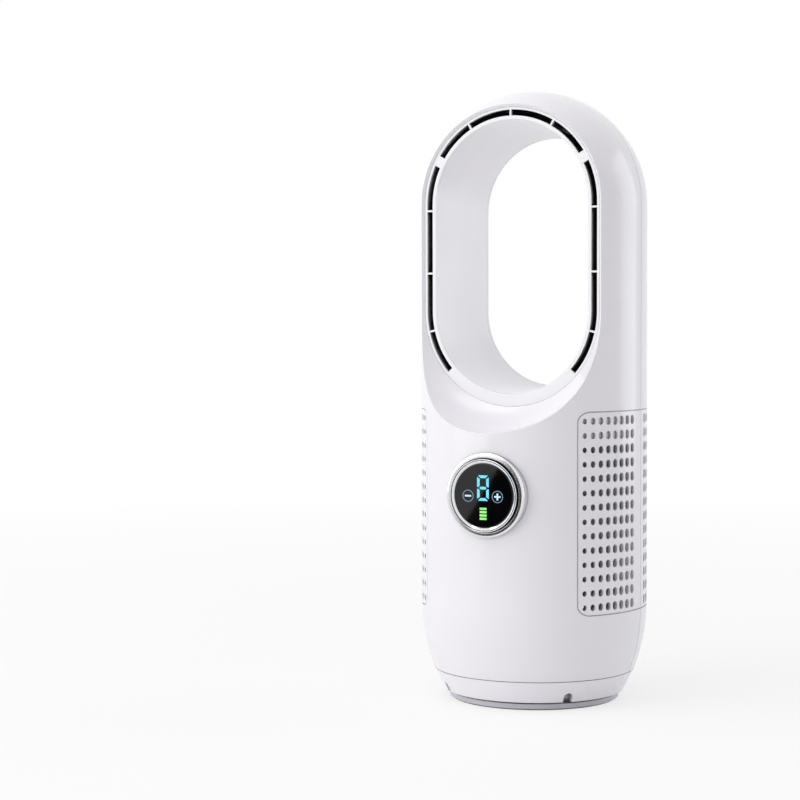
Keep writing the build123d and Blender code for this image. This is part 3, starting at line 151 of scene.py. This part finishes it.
class Shading:
    """A material's node tree with short calls for what the finishes share."""

    def __init__(self, name, color, roughness, metallic=0.0, ior=PLASTIC_IOR):
        self.material = bpy.data.materials.new(name)
        self.material.use_nodes = True
        self.tree = self.material.node_tree
        self.shader = self.tree.nodes["Principled BSDF"]
        self.place = self.tree.nodes.new("ShaderNodeTexCoord").outputs["Object"]
        self.normal = None
        self.give("Base Color", color)
        self.give("Roughness", roughness)
        self.give("Metallic", metallic)
        self.give("IOR", ior)

    def give(self, socket, value):
        """Sets one of the shader's sockets, or links it."""
        feed(self.tree, self.shader.inputs[socket], value)

    def node(self, kind, **inputs):
        """New node with its named inputs."""
        made = self.tree.nodes.new(kind)
        for socket, value in inputs.items():
            feed(self.tree, made.inputs[socket], value)
        return made

    def noise(self, lumps, detail=2.0, stretch=None):
        """Noise by the piece's own place, in lumps per metre, with more of them along a stretched axis."""
        place = self.place
        if stretch:
            place = self.node("ShaderNodeMapping", Vector=place, Scale=stretch).outputs["Vector"]
        return self.node("ShaderNodeTexNoise", Vector=place, Scale=lumps, Detail=detail).outputs["Fac"]

    def spread(self, value, low, high, start=0.3, end=0.7):
        """Maps start..end, by default the middle of a texture's range, to low..high."""
        limits = {"From Min": start, "From Max": end, "To Min": low, "To Max": high}
        return self.node("ShaderNodeMapRange", Value=value, **limits).outputs["Result"]

    def patches(self, lumps, low=0.0, high=1.0, detail=2.0):
        """Soft patches of low to high, in lumps per metre."""
        return self.spread(self.noise(lumps, detail), low, high)

    def mix(self, share, low, high):
        """Colour between low and high by share."""
        made = self.tree.nodes.new("ShaderNodeMix")
        made.data_type = "RGBA"
        for socket, value in ((made.inputs[0], share), (made.inputs[6], low), (made.inputs[7], high)):
            feed(self.tree, socket, value)
        return made.outputs[2]

    def vector(self, operation, first, second=None):
        """Arithmetic on vectors, where a length or a distance comes out as a number."""
        made = self.node("ShaderNodeVectorMath", Vector=first)
        made.operation = operation
        if second:
            made.inputs[1].default_value = second
        return made.outputs["Value" if operation in ("LENGTH", "DISTANCE") else "Vector"]

    def bend(self, normal):
        """Takes over a changed surface direction."""
        self.normal = normal
        self.give("Normal", normal)

    def soften(self, radius):
        """Rounds edges for the light, as moulded edges are."""
        made = self.node("ShaderNodeBevel", Radius=radius)
        made.samples = EDGE_SAMPLES
        self.bend(made.outputs["Normal"])

    def bump(self, height, depth):
        """Adds relief to what is there."""
        made = self.node("ShaderNodeBump", Height=height, Distance=depth)
        if self.normal:
            self.tree.links.new(self.normal, made.inputs["Normal"])
        self.bend(made.outputs["Normal"])

    def enclosed(self, reach, shut, clear, samples=SHUT_SAMPLES):
        """1 where no more than the share shut lies open within reach, 0 where clear or more does."""
        made = self.node("ShaderNodeAmbientOcclusion", Distance=reach)
        made.samples = samples
        return self.spread(made.outputs["AO"], 1.0, 0.0, shut, clear)


# ---- Finishes ----
def moulded_plastic(name, color, roughness, grain=1400, grain_depth=0.006 * MM, soft=0.2 * MM, hollow_shade=None):
    """Moulded plastic: faint orange peel, uneven gloss, slight tint drift, painted shade in corners, crevices
    and hollows.
    """
    s = Shading(name, color, roughness)
    s.soften(soft)
    body = s.mix(s.patches(lumps=14.0), *(shade(color, factor) for factor in TINT_DRIFT))
    # painted shade: darker where corners and crevices are closed in
    for closed_in in (CORNER, CREVICE):
        body = s.mix(s.enclosed(**closed_in), body, shade(color, CORNER_SHADE))
    # painted shade: deep hollows take the given dark colour
    if hollow_shade:
        body = s.mix(s.enclosed(**HOLLOW), body, hollow_shade)
    s.give("Base Color", body)
    shiny, dull = roughness - GLOSS_SWING, roughness + GLOSS_SWING
    s.give("Roughness", s.patches(lumps=55.0, low=shiny, high=dull, detail=4.0))
    s.bump(s.noise(grain, detail=3.0), grain_depth)
    return s.material


def polished_metal(name, color, roughness, brush=(1.0, 1.0, 1.0), soft=0.12 * MM, reach=2.0 * MM):
    """Plated or turned metal: fine lines across brush, uneven polish, and painted shade in corners as far as
    reach.
    """
    s = Shading(name, color, roughness, metallic=1.0)
    s.soften(soft)
    lines = s.noise(lumps=2600, stretch=brush)
    metal = s.mix(s.patches(lumps=90.0), shade(color, DULL_METAL), color)
    # painted shade: metal darkened in corners within reach
    s.give("Base Color", s.mix(s.enclosed(reach, **METAL_CORNER), metal, shade(color, METAL_CORNER_SHADE)))
    s.give("Roughness", s.spread(lines, *(roughness * factor for factor in BRUSH_SWING)))
    s.bump(lines, depth=0.0015 * MM)
    return s.material


def rubber(name, color, grain=900):
    """Matt rubber with a fine grain and a dusty bloom."""
    s = Shading(name, color, roughness=0.75)
    bloom = shade(color, 1.9)
    s.give("Base Color", s.mix(s.patches(lumps=40.0, detail=4.0), color, bloom))
    s.give("Roughness", s.patches(lumps=120.0, low=0.65, high=0.85))
    s.bump(s.noise(grain, detail=4.0), depth=0.04 * MM)
    return s.material


def node_box(name):
    """Lower and upper corner of a CAD node."""
    points = [vertex.co for vertex in nodes[name].data.vertices]
    return [tuple(pick(p[axis] for p in points) for axis in range(3)) for pick in (min, max)]


def node_centre(name):
    """Middle of a CAD node's box."""
    return tuple((low + high) / 2 for low, high in zip(*node_box(name)))


def black_glass(name, halo):
    """Cover glass printed black behind, with faint wiping marks and green light around the node halo."""
    s = Shading(name, GLASS_BLACK, roughness=0.05, ior=GLASS_IOR)
    smear = s.noise(lumps=60.0, detail=3.0, stretch=(1.0, 1.0, 3.0))
    wiped = shade(GLASS_BLACK, 1.8)
    s.give("Roughness", s.spread(smear, low=0.02, high=0.06))
    s.give("Base Color", s.mix(s.patches(lumps=20.0), GLASS_BLACK, wiped))
    away = s.vector("ABSOLUTE", s.vector("SUBTRACT", s.place, node_centre(halo)))
    parts = s.node("ShaderNodeSeparateXYZ", Vector=away)
    low, high = node_box(halo)
    within = []
    for axis, side in ((0, "X"), (2, "Z")):
        start, end = ((high[axis] - low[axis]) / 2 + edge for edge in HALO_EDGE)
        within.append(s.spread(parts.outputs[side], 1.0, 0.0, start, end))
    s.give("Emission Color", s.mix(combine(s.tree, "MULTIPLY", *within), UNLIT, HALO_GREEN))
    s.give("Emission Strength", HALO_GLOW)
    return s.material


def lit_mark(name, color):
    """Light through printed glass, a little uneven from the diode behind."""
    s = Shading(name, color, roughness=0.3)
    glow = s.patches(GLOW_LUMPS, detail=1.0)
    s.give("Emission Color", s.mix(glow, *(shade(color, factor) for factor in GLOW_SWING)))
    s.give("Emission Strength", MARK_GLOW)
    s.give("Base Color", s.mix(glow, *(shade(color, factor) for factor in MARK_INK)))
    return s.material


def lit_key(name, centre):
    """Key mark whose sign, in the middle, is lit brighter than the circle around it."""
    s = Shading(name, SIGN_WHITE, roughness=0.3)
    outside = s.spread(s.vector("DISTANCE", s.place, centre), 0.0, 1.0, *SIGN_EDGE)
    dim = shade(SIGN_WHITE, 0.9)
    sign = s.mix(s.patches(GLOW_LUMPS, detail=1.0), dim, SIGN_WHITE)
    s.give("Emission Color", s.mix(outside, sign, KEY_BLUE))
    s.give("Emission Strength", KEY_GLOW)
    s.give("Base Color", s.mix(outside, shade(SIGN_WHITE, KEY_INK), shade(KEY_BLUE, KEY_INK)))
    return s.material


def circuit_board(name, color):
    """Printed circuit board: solder mask with tracks showing through as relief and tint."""
    s = Shading(name, color, roughness=0.35)
    tracks = s.node("ShaderNodeTexBrick", Vector=s.place, Scale=160.0, **{"Mortar Size": 0.03}).outputs["Fac"]
    over_track = shade(color, 1.5)
    s.give("Base Color", s.mix(tracks, color, over_track))
    s.bump(tracks, depth=0.03 * MM)
    s.give("Roughness", s.patches(lumps=200.0, low=0.28, high=0.42))
    return s.material


def foam(name, color):
    """Open-grained soft foam."""
    s = Shading(name, color, roughness=0.95)
    cells = s.node("ShaderNodeTexVoronoi", Vector=s.place, Scale=900.0).outputs["Distance"]
    # painted shade in the pits and painted light on the walls between them
    shaded_pit, lit_wall = shade(color, 0.5), shade(color, 1.4)
    s.give("Base Color", s.mix(cells, shaded_pit, lit_wall))
    s.bump(cells, depth=0.15 * MM)
    s.give("Roughness", s.patches(lumps=200.0, low=0.9, high=1.0))
    return s.material


def wound_wire(name, color):
    """Enamelled wire packed in layers."""
    s = Shading(name, color, roughness=0.32, metallic=1.0)
    layers = s.node("ShaderNodeTexWave", Vector=s.place, Scale=700.0, Distortion=1.5)
    layers.bands_direction = "Z"
    wires = layers.outputs["Fac"]
    # painted shade in the gaps between wires and painted highlight on their crests
    shaded_gap, lit_crest = shade(color, 0.45), shade(color, 1.2)
    s.give("Base Color", s.mix(wires, shaded_gap, lit_crest))
    s.bump(wires, depth=0.1 * MM)
    s.give("Roughness", s.patches(lumps=300.0, low=0.25, high=0.4))
    return s.material


def dress(material, *names):
    """Gives CAD nodes a material in their own slots."""
    for name in names:
        node = nodes[name]
        if not node.material_slots:
            node.data.materials.append(material)
        for place in node.material_slots:
            place.material = material


def dress_outside():
    """Finishes of what shows."""
    dress(moulded_plastic("shell_gloss_white", SHELL_WHITE, roughness=0.20, hollow_shade=HOLE_SHADE_GREY),
          "front_shell", "rear_shell")
    dress(moulded_plastic("skirt_gloss_white", SHELL_WHITE, roughness=0.20, soft=0.4 * MM), "base_skirt")
    dress(moulded_plastic("ring_gloss_white", RING_WHITE, roughness=0.22, hollow_shade=SLOT_SHADE_BLACK), "nozzle_ring")
    dress(moulded_plastic("liner_satin_white", LINER_WHITE, roughness=0.34, hollow_shade=SLOT_SHADE_BLACK),
          "tunnel_liner")
    dress(moulded_plastic("foot_grey", FOOT_GREY, roughness=0.38, grain=2200, grain_depth=0.02 * MM),
          "foot_disc")
    dress(rubber("pad_rubber", PAD_BLACK), "foot_pad")
    dress(polished_metal("chrome_outer", CHROME, roughness=0.10, soft=0.3 * MM, reach=4.5 * MM),
          "display_outer_ring")
    dress(polished_metal("chrome_inner", CHROME, roughness=0.07, soft=0.3 * MM), "display_inner_ring")
    dress(polished_metal("socket_steel", SOCKET_STEEL, roughness=0.24), "charging_socket")
    dress(black_glass("display_glass", halo="level_bars"), "display_lens")
    dress(lit_mark("digit_light", DIGIT_CYAN), "speed_digit")
    dress(lit_mark("bar_light", BAR_GREEN), "level_bars")
    for name in ("minus_mark", "plus_mark"):
        dress(lit_key(name + "_light", node_centre(name)), name)


def dress_inside():
    """Finishes of what the casing and the foot hide."""
    dress(moulded_plastic("glide_natural", GLIDE_NATURAL, roughness=0.45), "glide_ring")
    dress(moulded_plastic("inner_grey_plastic", INNER_GREY, roughness=0.5, grain=1800, grain_depth=0.02 * MM),
          "base_plate", "air_divider", "display_bracket")
    dress(moulded_plastic("duct_plastic", DUCT_GREY, roughness=0.45),
          "impeller_shroud", "diffuser", "motor_cap")
    dress(moulded_plastic("impeller_plastic", IMPELLER_BLACK, roughness=0.38), "impeller")
    dress(moulded_plastic("tray_plastic", TRAY_BLACK, roughness=0.5), "battery_tray", "battery_lid")
    dress(moulded_plastic("light_guide", GUIDE_GREY, roughness=0.3), "display_carrier")
    dress(moulded_plastic("cell_sleeve", CELL_GREEN, roughness=0.3), "battery_cells")
    dress(moulded_plastic("component_black", COMPONENT_BLACK, roughness=0.4), "board_components")
    dress(moulded_plastic("magnet_dark", MAGNET_BLACK, roughness=0.42), "rotor_magnet")
    dress(moulded_plastic("ribbon_white", RIBBON_WHITE, roughness=0.4), "display_ribbon")
    dress(polished_metal("zinc_steel", ZINC, roughness=0.34),
          "swivel_retainer", "swivel_screws", "base_screws", "board_screws", "divider_screws",
          "shroud_screws", "display_screws", "touch_springs", "impeller_nut")
    dress(polished_metal("motor_can", CAN_STEEL, roughness=0.3, brush=(1, 1, 12)),
          "motor_housing", "motor_end_bell")
    dress(polished_metal("bearing_steel", BEARING_STEEL, roughness=0.16),
          "motor_bearing_lower", "motor_bearing_upper", "motor_shaft")
    dress(polished_metal("lamination_steel", LAMINATION_STEEL, roughness=0.45, brush=(1, 1, 30)),
          "stator_core")
    dress(wound_wire("winding_copper", COPPER), "stator_windings")
    dress(circuit_board("display_board_mask", DISPLAY_BOARD_GREEN), "display_board")
    dress(circuit_board("main_board_mask", MAIN_BOARD_GREEN), "main_board")
    dress(foam("gasket_foam", FOAM_BLACK), "duct_gasket")
    dress(rubber("damper_rubber", DAMPER_BLACK), "motor_damper")
    dress(rubber("cable_sheath", SHEATH_BLACK, grain=2000), "motor_cable")


# ---- Studio ----
def seen_ray(tree):
    """1 for rays that show the surroundings: the camera's, reflected and let through ones."""
    rays = tree.nodes.new("ShaderNodeLightPath")
    value = rays.outputs["Is Camera Ray"]
    for kind in ("Is Glossy Ray", "Is Transmission Ray"):
        value = combine(tree, "MAXIMUM", value, rays.outputs[kind])
    return value


def add_to_scene(name, data):
    """New object in the scene."""
    made = bpy.data.objects.new(name, data)
    bpy.context.scene.collection.objects.link(made)
    return made


def flat_piece(name, corners):
    """New object with one flat face."""
    mesh = bpy.data.meshes.new(name)
    mesh.from_pydata(corners, [], [tuple(range(len(corners)))])
    return add_to_scene(name, mesh)


def make_floor():
    """Plain pale floor that goes over into the white background around it."""
    floor = flat_piece("floor", [(x * FLOOR_REACH, y * FLOOR_REACH, 0)
                                 for x, y in ((-1, -1), (1, -1), (1, 1), (-1, 1))])
    s = Shading("floor_pale", FLOOR, roughness=0.7)
    dull, clean = shade(FLOOR, 0.995), shade(FLOOR, 1.004)
    s.give("Base Color", s.mix(s.patches(lumps=2.0), dull, clean))
    fade = s.spread(s.vector("LENGTH", s.place), **FLOOR_GLOW)
    glow = s.node("ShaderNodeEmission", Color=BACKGROUND)
    mix_shaders(s.tree, combine(s.tree, "MULTIPLY", fade, seen_ray(s.tree)),
                s.shader.outputs["BSDF"], glow.outputs["Emission"], "Material Output")
    floor.data.materials.append(s.material)


def make_card(name, corners):
    """Dark card that only shows in reflections."""
    card = flat_piece(name, corners)
    s = Shading(name + "_black", CARD_BLACK, roughness=1.0)
    faded = shade(CARD_BLACK, 1.5)
    s.give("Base Color", s.mix(s.patches(lumps=3.0), CARD_BLACK, faded))
    card.data.materials.append(s.material)
    card.visible_camera = False
    card.visible_diffuse = False
    card.visible_transmission = False
    card.visible_volume_scatter = False
    card.visible_shadow = False


def make_light(name, place, target, size, power):
    """Soft square lamp that faces target."""
    lamp = bpy.data.lights.new(name, "AREA")
    lamp.shape = "RECTANGLE"
    lamp.size, lamp.size_y = size
    lamp.energy = power
    made = add_to_scene(name, lamp)
    made.location = place
    made.rotation_mode = "QUATERNION"
    made.rotation_quaternion = (Vector(target) - Vector(place)).to_track_quat("-Z", "Y")


def make_world():
    """Even light from all round, white where it is seen."""
    world = bpy.data.worlds.new("studio")
    bpy.context.scene.world = world
    world.use_nodes = True
    tree = world.node_tree
    ambient = tree.nodes["Background"]
    seen = tree.nodes.new("ShaderNodeBackground")
    feed(tree, ambient.inputs["Color"], AMBIENT)
    feed(tree, seen.inputs["Color"], BACKGROUND)
    mix_shaders(tree, seen_ray(tree),
                ambient.outputs["Background"], seen.outputs["Background"], "World Output")


def make_camera():
    """Camera at the photograph's place and angle."""
    camera = bpy.data.cameras.new("camera")
    camera.sensor_width = SENSOR_WIDTH
    camera.lens = FOCAL_PIXELS / PHOTO_SIZE * SENSOR_WIDTH
    made = add_to_scene("camera", camera)
    turn = math.radians(CAMERA_AZIMUTH)
    made.location = (CAMERA_DISTANCE * math.sin(turn), -CAMERA_DISTANCE * math.cos(turn), EYE_HEIGHT)
    yaw = math.atan((AXIS_PIXEL_X - PHOTO_SIZE / 2) / FOCAL_PIXELS)
    pitch = math.atan((PHOTO_SIZE / 2 - HORIZON_PIXEL_Y) / FOCAL_PIXELS)
    made.rotation_euler = (math.pi / 2 - pitch, math.radians(CAMERA_ROLL), turn + yaw)
    bpy.context.scene.camera = made


def make_studio():
    """Floor, surroundings, lamps and card, with plain colour handling."""
    make_floor()
    make_world()
    for lamp in LAMPS:
        make_light(*lamp)
    make_card("glass_card", CARD_CORNERS)
    bpy.context.scene.view_settings.view_transform = "Standard"


dress_outside()
dress_inside()
make_studio()
make_camera()
